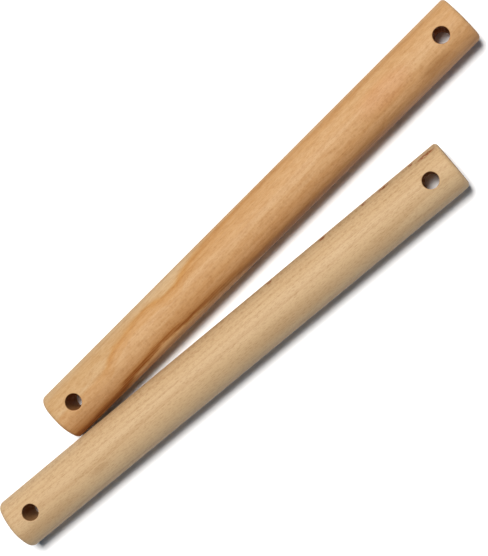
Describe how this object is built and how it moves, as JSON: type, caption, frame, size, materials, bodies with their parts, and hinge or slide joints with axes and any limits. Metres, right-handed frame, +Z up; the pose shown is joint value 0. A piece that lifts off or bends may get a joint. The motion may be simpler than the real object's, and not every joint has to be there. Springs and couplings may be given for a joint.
{
  "type": "claves",
  "caption": "Claves: loose turned beech sticks struck together by hand, each drilled across near both ends for a hanging cord.",
  "frame": {"origin": "on the table under the middle of the pair, the centre of the two sticks' common footprint", "axes": "+Z up from the table; +X midway between the two sticks' directions, towards the ends where they are furthest apart; +Y across the sticks, from the striking clave to the held clave"},
  "size_m": [0.2384, 0.0545, 0.0194],
  "materials": {
    "warm_beech": "bare sanded beech, matte, warm orange-brown heartwood streaks",
    "pale_beech": "bare sanded beech, matte, pale straw with fine flecks"
  },
  "bodies": {
    "held_clave": {"held_clave": "warm_beech"},
    "striking_clave": {"striking_clave": "pale_beech"}
  },
  "joints": [
    {"name": "striking_clave_lift", "type": "slide", "parent": "held_clave", "child": "striking_clave", "axis": [0, 0, 1], "range_m": [0, 0.12]}
  ]
}
